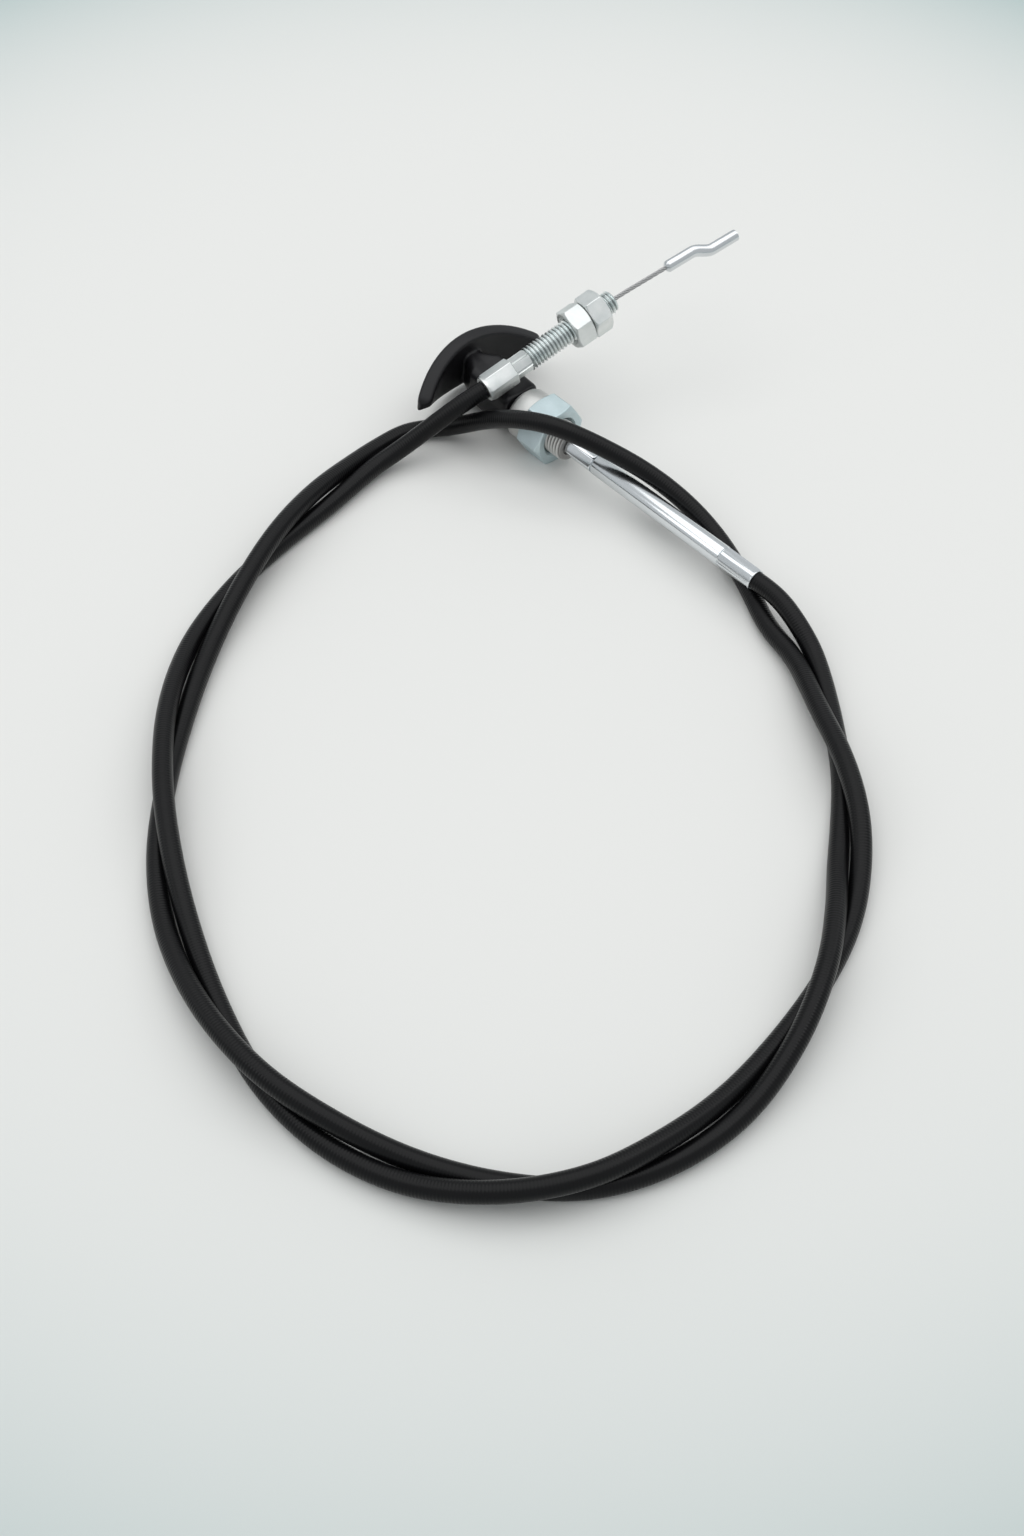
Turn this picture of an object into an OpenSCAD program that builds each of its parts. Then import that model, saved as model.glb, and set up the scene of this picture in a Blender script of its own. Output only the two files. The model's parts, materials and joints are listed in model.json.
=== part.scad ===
// Push-pull control cable with a T-handle, laid down in a twisted double loop.
// The origin is on the pull axis where the collar seats on a panel. +X runs from the handle
// into the cable and +Z is up. The panel nut lies on one of its flats.

/* [Handle] */
// Radius of the palm arc
palm_r = 46; // [38:1:56]
// Thickness of the palm flange
palm_t = 5; // [3:0.2:6]
// Width of the handle over its tips
handle_w = 56; // [44:1:66]
// Height of the palm flange at its middle
palm_h = 23; // [16:0.5:23]
// Height of the palm flange's arched outline at its tips
tip_h = 6; // [5:0.5:10]
// Slope of the palm flange's underside, in degrees
underside = 44; // [30:1:50]
// Side of the square stem block
stem_w = 14; // [12:0.5:16]
// Length of the square stem block
stem_l = 18.5; // [12:0.5:20]
// Width of the neck where it meets the palm flange
neck_w = 5; // [4:0.5:10]
// Height of the stem where it meets the palm flange
neck_h = 10; // [6:0.5:13]
// Width cut off the stem block's long edges
stem_edge = 3; // [1:0.5:4]
// Distance from the stem block's end to the palm flange's back
reach = 30.2; // [28:0.2:36]
// Roll of the handle about the pull axis, in degrees
handle_roll = -3; // [-6:0.5:6]
// Lean of the handle in degrees, with its palm flange raised
handle_lean = 4.6; // [3:0.2:6]

/* [Rod and panel bushing] */
// Diameter of the pull rod
rod_d = 4; // [3:0.5:4.5]
// Length of the rod moulded into the stem
rod_in_stem = 16; // [8:1:20]
// Distance from the panel seat to the rod's inner end
rod_end_x = 50; // [36:1:60]
// Diameter of the bushing's collar
collar_d = 17.5; // [15:0.5:18.5]
// Length of the bushing's collar
collar_l = 8; // [5:0.5:12]
// Diameter of the panel thread
panel_thread_d = 12; // [10:1:14]
// Length of the panel thread
panel_thread_l = 15.5; // [13:0.5:15.5]
// Length of the spigot under the guide tube's neck
spigot_l = 9; // [6:0.5:11]
// Width across flats of the panel nut
panel_nut_af = 19; // [17:1:19]
// Thickness of the panel nut
panel_nut_t = 10; // [6:0.5:11]

/* [Guide tube] */
// Outer diameter of the guide tube
tube_d = 7; // [6.6:0.1:7]
// Distance from the panel seat to the tube's mouth
tube_end_x = 97.3; // [96:0.1:98]
// Length of the crimped neck over the bushing
neck_l = 12.2; // [8:0.2:14]
// Length of the crimped mouth over the conduit
mouth_l = 13.5; // [8:0.5:16]

/* [Conduit] */
// Outer diameter of the jacket
jacket_d = 6; // [5:0.1:6]
// Outer diameter of the flat-wire winding
winding_d = 4.4; // [4:0.1:4.5]
// Outer diameter of the liner
liner_d = 3.1; // [2.8:0.1:3.2]
// Diameter of the inner wire
wire_d = 1.5; // [1.2:0.1:1.6]

/* [Threaded end] */
// Width across flats of the ferrule's large crimp
ferrule_af = 8.2; // [7.5:0.1:9]
// Length of the ferrule's large crimp
ferrule_l = 11.4; // [8:0.2:14]
// Width across flats of the ferrule's small stage
stage_af = 6.9; // [6.5:0.1:7.4]
// Length of the ferrule's small stage
stage_l = 6.4; // [4:0.2:8]
// Diameter of the sleeve's thread
sleeve_d = 8; // [7:0.5:8.5]
// Length of the sleeve's thread
sleeve_l = 34.8; // [30:0.2:40]
// Width across flats of the lock nuts
lock_nut_af = 13; // [12:0.5:14]
// Thickness of a lock nut
lock_nut_t = 6.8; // [4:0.1:7]
// Thread left free past the outer lock nut
free_thread = 4.3; // [2:0.1:8]
// Diameter of the sleeve's open mouth, which lets the bent wire in
sleeve_mouth_d = 4.8; // [4.2:0.1:5.4]
// Travel of the inner wire
travel = 18; // [12:1:18]
// Bare wire between the sleeve and the end fitting
free_wire = 21.8; // [18.5:0.1:30]
// Angle at which the bare wire sags under the end fitting, in degrees
wire_sag = 5.5; // [0:0.5:6]
// Diameter of the end fitting
fitting_d = 4; // [3:0.2:5]
// Length of the fitting before its joggle
fitting_root_l = 11.6; // [9:0.2:14]
// Length of the joggle
joggle_l = 6; // [4:0.2:8]
// Length of the fitting past its joggle
fitting_tip_l = 10.6; // [8:0.2:14]
// Sideways step of the joggle
joggle_step = 2.6; // [1:0.1:3.5]

/* [Clearances] */
// Gap between a rod and its bore, on the radius
slide_gap = 0.15; // [0.1:0.05:0.2]
// Gap between a thread's crest and its nut, on the radius
thread_gap = 0.15; // [0.1:0.05:0.3]
// Gap between parts that are pressed or crimped together, on the radius
seat_gap = 0.05; // [0.02:0.01:0.1]
// Gap between faces that stand beside each other
face_gap = 0.3; // [0.2:0.05:0.5]

/* [Hidden] */
$fn = 48;

floor_z = -panel_nut_af / 2;          // the nut lies on a flat, so this is the surface it lies on
handle_end_x = -collar_l - face_gap - stem_w / 2 * sin(handle_lean);  // beside the collar
rod_bore_d = rod_d + 2 * slide_gap;
spigot_d = tube_d - 1.2;
tube_wall = (tube_d - spigot_d) / 2 - seat_gap;
crimp_af = tube_d - 0.1;               // a crimp's flats lie just under the round tube
crimp_round = 2 * tube_d / sqrt(3) - 0.6;
wire_in_rod = 5;
chamfer = 0.8;

// The conduit's route. Heights are above the surface that the cable lies on.
exit_points = [[tube_end_x, 0, -floor_z], [106.5, 0, 9.2], [116, -2, 7.6]];
// Middle line of the twisted double loop: a crossing at every second point
loop_points = [[126, -8.5], [162, -32.5], [186, -56.5], [205, -88], [215, -132], [206, -175],
    [173.5, -205], [129, -216.5], [78.5, -205], [36, -178.5], [0, -139], [-18.5, -94.5],
    [-27.5, -52]];
// From the first turn's end, over the panel nut and under the guide tube
bridge_points = [[-31.9, -40, 3], [-31.1, -31, 3.05], [-26.8, -23.6, 3.05], [-20.4, -18.9, 5.4],
    [-13, -16.3, 10.6], [-4.5, -14.5, 16.3], [4.5, -12.5, 20.8], [13.5, -9, 22.6],
    [22.5, -4.5, 21.2], [32, 0.5, 18], [41.5, 4.7, 14.8], [51, 7.6, 11.5], [61, 9.2, 8],
    [71, 9.1, 4.7], [82, 6.3, 3], [95, 0.5, 3], [109, -6.3, 3]];
final_points = [[-24, -44, 5.2], [-21.9, -35, 8.8], [-19, -27, 13.5], [-16.5, -19.5, 17.6]];
mouth_point = [-14.5, -11, 20.2];       // centre of the ferrule's mouth
end_turn = 82;                        // heading of the threaded end, from +X towards +Y
end_rise = 14.5;                      // its slope above the surface
strand_pitch = 6.6;                   // distance between the two turns where they cross
twist_softness = 0.5;                 // how gently a turn lifts over the other
lowest = 3.05;                        // height of a turn's centre where it lies flat
cord_sides = 8;

function at_rest(p) = [p[0], p[1], p[2] + floor_z];
function unit(v) = v / norm(v);
function end_axis() = [cos(end_rise) * cos(end_turn), cos(end_rise) * sin(end_turn), sin(end_rise)];

// A point on the smooth curve through a list of points
function before(points, i) = i > 0 ? points[i - 1] : 2 * points[0] - points[1];
function after(points, i) = i + 2 < len(points) ? points[i + 2] : 2 * points[i + 1] - points[i];
function blend(a, b, c, d, f) = (2 * b + (c - a) * f + (2 * a - 5 * b + 4 * c - d) * f * f
    + (3 * b - a - 3 * c + d) * f * f * f) / 2;
function curve(points, t) =
    let (i = max(0, min(floor(t), len(points) - 2)))
    blend(before(points, i), points[i], points[i + 1], after(points, i), t - i);

// One turn of the twisted loop. Side is 1 for the first turn and -1 for the second.
function twist_lift(phase) = sqrt(pow(cos(phase), 2) + pow(twist_softness, 2))
    - sqrt(1 + pow(twist_softness, 2)) + 1;
function turn_point(side, t) =
    let (middle = curve(loop_points, t),
        heading = unit(curve(loop_points, t + 0.01) - curve(loop_points, t - 0.01)),
        phase = 90 * t - 90,
        inward = [heading[1], -heading[0]] * side * sin(phase) * strand_pitch / 2,
        height = lowest + (twist_lift(phase) - side * cos(phase)) * strand_pitch / 2)
    [middle[0] + inward[0], middle[1] + inward[1], height];
function turn(side) = [for (k = [0 : 2 * (len(loop_points) - 1)]) turn_point(side, k / 2)];

route = [for (p = concat(exit_points, turn(1), bridge_points, turn(-1), final_points,
    [mouth_point])) at_rest(p)];

// Rings of a tube along the route, with flats down
function heading_at(path, i) =
    i == 0 ? [1, 0, 0]
    : i == len(path) - 1 ? end_axis()
    : unit(unit(path[i + 1] - path[i]) + unit(path[i] - path[i - 1]));
function ring(centre, heading, r, sides) =
    let (across = unit(cross(heading, [0, 0, 1])), up = cross(across, heading))
    [for (k = [0 : sides - 1]) let (a = (k + 0.5) * 360 / sides)
        centre + r * (cos(a) * across + sin(a) * up)];
function rings(path, r, sides) = [for (i = [0 : len(path) - 1])
    each ring(path[i], heading_at(path, i), r, sides)];
function skin(n, sides, first, flip) = [for (i = [0 : n - 2], k = [0 : sides - 1])
    let (a = first + i * sides + k, b = first + i * sides + (k + 1) % sides,
        quad = [a, b, b + sides, a + sides])
    each flip ? [[quad[2], quad[1], quad[0]], [quad[3], quad[2], quad[0]]]
        : [[quad[0], quad[1], quad[2]], [quad[0], quad[2], quad[3]]]];
function end_band(a, b, sides, flip) = [for (k = [0 : sides - 1])
    let (m = (k + 1) % sides)
    each flip ? [[a + k, a + m, b + m], [a + k, b + m, b + k]]
        : [[b + m, a + m, a + k], [b + k, b + m, a + k]]];

module cord_solid(d) {
    n = len(route);
    polyhedron(rings(route, d / 2, cord_sides), concat(
        skin(n, cord_sides, 0, false),
        [[for (k = [0 : cord_sides - 1]) cord_sides - 1 - k]],
        [[for (k = [0 : cord_sides - 1]) (n - 1) * cord_sides + k]]));
}

module cord_tube(d, bore) {
    n = len(route);
    all = n * cord_sides;
    polyhedron(concat(rings(route, d / 2, cord_sides), rings(route, bore / 2, cord_sides)),
        concat(skin(n, cord_sides, 0, false), skin(n, cord_sides, all, true),
            end_band(0, all, cord_sides, false),
            end_band(all - cord_sides, 2 * all - cord_sides, cord_sides, true)));
}

// Frames of the two ends: along_x turns +Z onto the pull axis, at_end onto the threaded end
module along_x(x = 0) {
    translate([x, 0, 0]) rotate([0, 90, 0]) children();
}

module at_end(s = 0) {
    translate(at_rest(mouth_point) + s * end_axis())
        rotate([0, 90 - end_rise, end_turn]) children();
}

module hexagon(af, l) {
    rotate(30) cylinder(d = 2 * af / sqrt(3), h = l, $fn = 6);
}

module bevelled_rod(d, l, bevel_start = 0, bevel_end = 0) {
    rotate_extrude() polygon([[0, 0], [d / 2 - bevel_start, 0], [d / 2, bevel_start],
        [d / 2, l - bevel_end], [d / 2 - bevel_end, l], [0, l]]);
}

// A hexagon nut with both faces bevelled
module hex_nut(af, t, bore, countersink) {
    corner = af / sqrt(3);
    bevel = (corner - af / 2) / 2;
    difference() {
        intersection() {
            hexagon(af, t);
            bevelled_rod(2 * corner, t, bevel, bevel);
        }
        translate([0, 0, -1]) cylinder(d = bore, h = t + 2);
        for (end = [0, 1]) translate([0, 0, end * t]) mirror([0, 0, end])
            translate([0, 0, -0.01]) cylinder(d1 = countersink, d2 = bore, h = (countersink - bore) / 2);
    }
}

// Handle
arc_x = handle_end_x - reach + palm_r;          // centre of the palm arc
lens_r = (pow(handle_w / 2, 2) + pow((palm_h - tip_h) / 2, 2)) / (palm_h - tip_h);

module palm_disc(r, h) {
    translate([arc_x, 0, -h / 2]) cylinder(r = r, h = h, $fn = 96);
}

// The flange's outline from the front: a lens with square tips
module palm_lens() {
    along_x(arc_x - palm_r - 1) intersection() {
        for_both_sides() cylinder(r = lens_r, h = palm_r + 2, $fn = 96);
        translate([-palm_h, -handle_w / 2, 0]) cube([2 * palm_h, handle_w, palm_r + 2]);
    }
}

module for_both_sides() {
    intersection() {
        translate([lens_r - palm_h / 2, 0, 0]) children();
        translate([palm_h / 2 - lens_r, 0, 0]) children();
    }
}

// The part of the palm arc between its tips, which are cut square to the arc
module palm_sector(h) {
    tip_angle = asin(handle_w / 2 / palm_r);
    far = 2 * palm_r;
    translate([arc_x, 0, -h / 2]) linear_extrude(h) polygon([[0, 0],
        far * [-cos(tip_angle), -sin(tip_angle)], [-far, -far * sin(tip_angle)],
        [-far, far * sin(tip_angle)], far * [-cos(tip_angle), sin(tip_angle)]]);
}

// What is cut away under the flange: its underside slopes up towards the stem
module under_palm() {
    far = 2 * palm_h;
    translate([arc_x - palm_r, 0, 0.3 - palm_h / 2]) rotate([0, -underside, 0])
        translate([-far, -handle_w, -2 * far]) cube([4 * far, 2 * handle_w, 2 * far]);
}

module palm_flange() {
    difference() {
        intersection() {
            palm_disc(palm_r, palm_h + 2);
            palm_sector(2 * palm_h);
            palm_lens();
        }
        palm_disc(palm_r - palm_t, palm_h + 4);
        under_palm();
    }
}

// A square bar along +Z whose long edges are cut off
module stem_bar(l) {
    across = (stem_w - stem_edge) * sqrt(2);
    intersection() {
        translate([-stem_w / 2, -stem_w / 2, 0]) cube([stem_w, stem_w, l]);
        rotate(45) translate([-across / 2, -across / 2, 0]) cube([across, across, l]);
    }
}

module stem() {
    block_x = handle_end_x - stem_l;
    neck_x = arc_x - palm_r + palm_t / 2;
    neck_l = block_x - neck_x;
    along_x(block_x) stem_bar(stem_l);
    intersection() {
        along_x(neck_x) stem_bar(neck_l + 1);
        translate([neck_x, 0, 0]) neck_slab(neck_l, neck_w);
        translate([neck_x, 0, 0]) rotate([90, 0, 0]) neck_slab(neck_l, neck_h);
    }
}

// A slab along +X that widens from w to the stem's side
module neck_slab(l, w) {
    linear_extrude(2 * stem_w, center = true) polygon([[0, -w / 2], [l, -stem_w / 2],
        [l + 1, -stem_w / 2], [l + 1, stem_w / 2], [l, stem_w / 2], [0, w / 2]]);
}

module t_handle() {
    color([0.09, 0.09, 0.1]) difference() {
        translate([handle_end_x, 0, 0]) rotate([0, handle_lean, 0]) rotate([handle_roll, 0, 0])
            translate([-handle_end_x, 0, 0]) union() {
                palm_flange();
                stem();
            }
        along_x(handle_end_x - rod_in_stem) cylinder(d = rod_d + 2 * seat_gap, h = rod_in_stem + 1);
    }
}

module pull_rod() {
    rod_start = handle_end_x - rod_in_stem;
    color([0.75, 0.76, 0.77]) difference() {
        along_x(rod_start) bevelled_rod(rod_d, rod_end_x - rod_start, 0, rod_d / 8);
        along_x(rod_end_x - wire_in_rod) cylinder(d = wire_d + 2 * seat_gap, h = wire_in_rod + 1);
    }
}

module rod_wire() {
    wire_start = rod_end_x - wire_in_rod;
    color([0.6, 0.61, 0.62]) along_x(wire_start)
        cylinder(d = wire_d, h = tube_end_x - face_gap - wire_start);
}

// Panel bushing, its nut and the guide tube
module panel_bushing() {
    color([0.72, 0.74, 0.76]) difference() {
        union() {
            along_x(-collar_l) bevelled_rod(collar_d, collar_l, 1.5, chamfer);
            along_x(-chamfer) bevelled_rod(panel_thread_d, panel_thread_l + chamfer, 0, chamfer);
            along_x(0) cylinder(d = spigot_d, h = panel_thread_l + spigot_l);
        }
        along_x(-collar_l - 1) cylinder(d = rod_bore_d, h = collar_l + panel_thread_l + spigot_l + 2);
    }
}

module panel_nut() {
    color([0.7, 0.76, 0.8]) along_x() hex_nut(panel_nut_af, panel_nut_t,
        panel_thread_d + 2 * thread_gap, panel_thread_d + 2.6);
}

module crimp(l) {
    intersection() {
        hexagon(crimp_af, l);
        cylinder(d = crimp_round, h = l);
    }
}

module guide_tube() {
    tube_l = tube_end_x - panel_thread_l;
    color([0.85, 0.86, 0.88]) along_x(panel_thread_l) difference() {
        union() {
            cylinder(d = tube_d - 0.4, h = tube_l);
            crimp(neck_l);
            translate([0, 0, neck_l]) cylinder(d = tube_d, h = tube_l - neck_l - mouth_l);
            translate([0, 0, tube_l - mouth_l]) crimp(mouth_l);
        }
        translate([0, 0, -1]) cylinder(d = spigot_d + 2 * seat_gap, h = spigot_l + 1 + face_gap);
        translate([0, 0, -1]) cylinder(d = rod_bore_d, h = tube_l + 2);
    }
}

// Conduit and the wire in it
module conduit_jacket() {
    color([0.08, 0.08, 0.09]) cord_tube(jacket_d, winding_d + 2 * slide_gap);
}

module conduit_winding() {
    color([0.55, 0.57, 0.6]) cord_tube(winding_d, liner_d + 2 * slide_gap);
}

module conduit_liner() {
    color([0.9, 0.9, 0.86]) cord_tube(liner_d, wire_d + 4 * slide_gap);
}

module core_wire() {
    color([0.6, 0.61, 0.62]) cord_solid(wire_d);
}

// Threaded end
stage_end = ferrule_l + stage_l;
sleeve_spigot_l = stage_l + 2;
sleeve_spigot_d = stage_af - 1.9;
end_bore_d = wire_d + 4 * slide_gap;
sleeve_end = stage_end + sleeve_l;
outer_nut_s = sleeve_end - free_thread - lock_nut_t;
inner_nut_s = outer_nut_s - face_gap - lock_nut_t;
mouth_depth = travel + 3;
wire_start_s = stage_end + travel - ferrule_l - 3;
fitting_s = sleeve_end + free_wire;
wire_in_fitting = fitting_root_l - 2.2;

module end_ferrule() {
    color([0.86, 0.87, 0.88]) at_end() difference() {
        union() {
            rotate(38) hexagon(ferrule_af, ferrule_l);
            rotate(44) hexagon(stage_af, stage_end);
        }
        translate([0, 0, -1]) cylinder(d = end_bore_d, h = stage_end + 2);
        translate([0, 0, stage_end - sleeve_spigot_l])
            cylinder(d = sleeve_spigot_d + 2 * seat_gap, h = sleeve_spigot_l + 1);
    }
}

module threaded_sleeve() {
    color([0.74, 0.79, 0.8]) at_end() difference() {
        union() {
            translate([0, 0, stage_end]) bevelled_rod(sleeve_d, sleeve_l, 0, chamfer);
            translate([0, 0, stage_end - sleeve_spigot_l])
                cylinder(d = sleeve_spigot_d, h = sleeve_spigot_l + 1);
        }
        cylinder(d = end_bore_d, h = sleeve_end + 1);
        translate([0, 0, sleeve_end - mouth_depth]) cylinder(d = sleeve_mouth_d, h = mouth_depth + 1);
    }
}

module lock_nut(s, turned) {
    color([0.82, 0.84, 0.84]) at_end(s) rotate(turned) hex_nut(lock_nut_af, lock_nut_t,
        sleeve_d + 2 * thread_gap, sleeve_d + 1.2);
}

module lock_nut_inner() {
    lock_nut(inner_nut_s, 22);
}

module lock_nut_outer() {
    lock_nut(outer_nut_s, 44);
}

// The inner wire: a core with six strands laid round it. It is straight in the sleeve and
// sags evenly outside, past a short bend.
strand_d = wire_d / 3;
lay = 14;                             // length in which a strand goes once round the core
bend_l = 6;
wire_out_l = fitting_s + wire_in_fitting - wire_start_s;
wire_steps = ceil(wire_out_l / lay * 7);

function wire_drop(s) =
    let (out = s - sleeve_end)
    tan(wire_sag) * (out < 0 ? 0 : out < bend_l ? out * out / (2 * bend_l) : out - bend_l / 2);
function strand_ring(s, sides, off, turned) =
    let (a = turned + 360 * s / lay, centre = [wire_drop(s) + off * cos(a), off * sin(a), s])
    [for (j = [0 : sides - 1]) let (b = a + j * 360 / sides)
        centre + [cos(b), sin(b), 0] * (strand_d - seat_gap) / 2];

module wire_strand(off, turned, sides) {
    n = wire_steps + 1;
    polyhedron([for (k = [0 : wire_steps])
        each strand_ring(wire_start_s + wire_out_l * k / wire_steps, sides, off, turned)],
        concat(skin(n, sides, 0, false),
            [[for (k = [0 : sides - 1]) sides - 1 - k]],
            [[for (k = [0 : sides - 1]) (n - 1) * sides + k]]));
}

module output_wire_core() {
    color([0.62, 0.63, 0.64]) at_end() wire_strand(0, 0, 6);
}

module output_wire_strands() {
    color([0.66, 0.67, 0.68]) at_end() for (k = [0 : 5]) wire_strand(strand_d, 60 * k, 6);
}

module end_fitting() {
    tip_start = fitting_root_l + joggle_l;
    side = [joggle_step, 0, 0];
    color([0.78, 0.8, 0.81]) at_end(fitting_s) translate([wire_drop(fitting_s), 0, 0])
    rotate([0, wire_sag, 0]) rotate(-45) difference() {
        union() {
            bevelled_rod(fitting_d, fitting_root_l, chamfer, 0);
            hull() {
                translate([0, 0, fitting_root_l - 0.1]) cylinder(d = fitting_d, h = 0.1, $fn = 32);
                translate(side + [0, 0, tip_start]) cylinder(d = fitting_d, h = 0.1, $fn = 32);
            }
            translate(side + [0, 0, tip_start])
                bevelled_rod(fitting_d, fitting_tip_l, 0, chamfer / 2);
        }
        translate([0, 0, -1]) cylinder(d = wire_d + 2 * seat_gap, h = wire_in_fitting + 1 + face_gap);
    }
}

t_handle();
pull_rod();
rod_wire();
panel_bushing();
panel_nut();
guide_tube();
conduit_jacket();
conduit_winding();
conduit_liner();
core_wire();
end_ferrule();
threaded_sleeve();
lock_nut_inner();
lock_nut_outer();
output_wire_core();
output_wire_strands();
end_fitting();
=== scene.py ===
"""A push-pull control cable with a T-handle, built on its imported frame."""

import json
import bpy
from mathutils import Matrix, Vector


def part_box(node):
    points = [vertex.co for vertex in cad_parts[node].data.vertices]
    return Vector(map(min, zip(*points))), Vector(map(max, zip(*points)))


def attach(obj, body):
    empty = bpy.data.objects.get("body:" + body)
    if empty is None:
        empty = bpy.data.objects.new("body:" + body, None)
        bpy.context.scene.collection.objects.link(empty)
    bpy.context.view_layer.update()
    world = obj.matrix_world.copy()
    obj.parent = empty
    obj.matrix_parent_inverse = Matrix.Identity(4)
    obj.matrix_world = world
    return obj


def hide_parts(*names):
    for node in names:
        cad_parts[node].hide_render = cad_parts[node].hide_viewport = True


bl_info = {
    "name": "Push-Pull Control Cable",
    "version": (1, 0, 0),
    "blender": (4, 5, 0),
    "location": "3D View > Sidebar > Control Cable",
    "description": "Builds the pieces of a push-pull control cable round its CAD frame",
    "category": "Add Mesh",
}

from math import asin, atan2, ceil, cos, floor, pi, radians, sin, sqrt, tan

import bmesh
import bpy
from bpy.props import FloatProperty, FloatVectorProperty, IntProperty, PointerProperty
from mathutils import Matrix, Vector

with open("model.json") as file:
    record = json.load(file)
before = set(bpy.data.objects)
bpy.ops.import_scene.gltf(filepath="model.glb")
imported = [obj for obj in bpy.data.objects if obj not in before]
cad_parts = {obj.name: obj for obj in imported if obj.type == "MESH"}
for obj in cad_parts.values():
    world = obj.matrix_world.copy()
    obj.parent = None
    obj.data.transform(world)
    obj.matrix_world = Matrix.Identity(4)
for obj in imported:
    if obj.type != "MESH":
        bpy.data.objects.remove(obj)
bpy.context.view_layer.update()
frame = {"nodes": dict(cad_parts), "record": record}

MM = 0.001
WELD = 1e-7  # corners nearer than this are one
SPUN_WELD = 1e-6  # the same, for the turns of a thread
MOUNTS = {m["name"]: m for m in frame["record"]["mounts"]}
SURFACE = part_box("panel_nut")[0][2]  # the panel nut lies on one of its flats
TUBE_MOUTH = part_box("guide_tube")[1][0]
MOULD_VOXEL = 0.42 * MM
SLEEVE_BORE = 33.5 * MM  # depth of the sleeve's bore, which takes the drawn-back wire
WIRE_IN_SLEEVE = 14.5 * MM  # wire in the sleeve when the handle is in


# Frames of the two ends. In both, +Z runs from the handle's side towards the wire's end.
def axes_at(x_axis, y_axis, z_axis, origin):
    turned = Matrix((x_axis, y_axis, z_axis)).transposed().to_4x4()
    turned.translation = origin
    return turned


def along_pull(x=0.0):
    return axes_at((0, 0, -1), (0, 1, 0), (1, 0, 0), (x, 0, 0))


END_AXIS = Vector(MOUNTS["bracket_thread"]["axis"]).normalized()
END_ACROSS = Vector((-END_AXIS.y, END_AXIS.x, 0)).normalized()
END_DOWN = END_ACROSS.cross(END_AXIS)


# ---------------------------------------------------------------- sizes and colours
def size(name, description, value, low=0.0, high=1.0):
    return FloatProperty(
        name=name, description=description, default=value, min=low, max=high,
        precision=5, subtype="DISTANCE", unit="LENGTH",
    )


def angle(name, description, degrees):
    return FloatProperty(
        name=name, description=description, default=radians(degrees), subtype="ANGLE",
        unit="ROTATION",
    )


def colour(name, description, value):
    return FloatVectorProperty(
        name=name, description=description, default=value, size=3, min=0.0, max=1.0,
        subtype="COLOR",
    )


class HandleSettings(bpy.types.PropertyGroup):
    palm_radius: size("Palm Radius", "Outer radius of the palm arc", 46 * MM)
    palm_thickness: size("Palm Thickness", "Thickness of the palm flange", 5 * MM)
    palm_height: size("Palm Height", "Height of the palm flange at its middle", 23 * MM)
    tip_height: size("Tip Height", "Height of the palm flange at its tips", 6 * MM)
    underside: angle("Underside", "Slope of the palm flange's underside", 44)
    width: size("Width", "Width over the two tips", 56 * MM)
    palm_back: size("Palm Back", "Furthest place of the palm flange", -39.06 * MM, -1)
    stem: size("Stem", "Side of the square stem", 14 * MM)
    stem_end: size("Stem End", "Place of the stem's end on the pull axis", -8.86 * MM, -1)
    block_end: size("Block End", "Place where the stem starts to narrow", -27.4 * MM, -1)
    neck_width: size("Neck Width", "Width of the stem at the palm flange", 4.6 * MM)
    neck_height: size("Neck Height", "Height of the stem at the palm flange", 12 * MM)
    roll: angle("Roll", "Turn of the handle about the pull axis", -3)
    lean: angle("Lean", "Slope of the handle from its end that rests on the floor", 4.6)
    nylon: colour("Nylon", "Colour of the moulded handle", (0.0065, 0.0063, 0.0075))


class BushingSettings(bpy.types.PropertyGroup):
    collar_diameter: size("Collar Diameter", "Diameter of the collar", 17.5 * MM)
    collar_length: size("Collar Length", "Length of the collar", 8 * MM)
    thread_diameter: size("Thread Diameter", "Diameter of the panel thread", 12 * MM)
    thread_length: size("Thread Length", "Length of the panel thread", 15.5 * MM)
    thread_pitch: size("Thread Pitch", "Pitch of the panel thread", 1.25 * MM)
    nut_flats: size("Nut Flats", "Width of the panel nut across its flats", 19 * MM)
    nut_thickness: size("Nut Thickness", "Thickness of the panel nut", 10 * MM)
    tube_diameter: size("Tube Diameter", "Diameter of the guide tube", 7 * MM)
    neck_length: size("Neck Length", "Length of the crimped neck", 12.2 * MM)
    mouth_length: size("Mouth Length", "Length of the crimped mouth", 13.5 * MM)
    zinc: colour("Bushing Zinc", "Colour of the bushing", (0.68, 0.665, 0.65))
    nut_zinc: colour("Nut Zinc", "Colour of the panel nut", (0.62, 0.71, 0.735))
    chrome: colour("Chrome", "Colour of the guide tube", (0.76, 0.79, 0.81))


class ConduitSettings(bpy.types.PropertyGroup):
    diameter: size("Diameter", "Outer diameter of the jacket", 6 * MM)
    pitch: size("Strand Pitch", "Distance between turns where they cross", 6.35 * MM)
    ring_gap: size("Ring Gap", "Distance between the rings of the tube", 1.6 * MM)
    rib_pitch: size("Rib Pitch", "Distance between the winding's ribs in the jacket", 0.9 * MM)
    sides: IntProperty(name="Sides", description="Sides of the tube", default=28, min=8)
    jacket: colour("Jacket", "Colour of the jacket", (0.0032, 0.0032, 0.0036))


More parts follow.
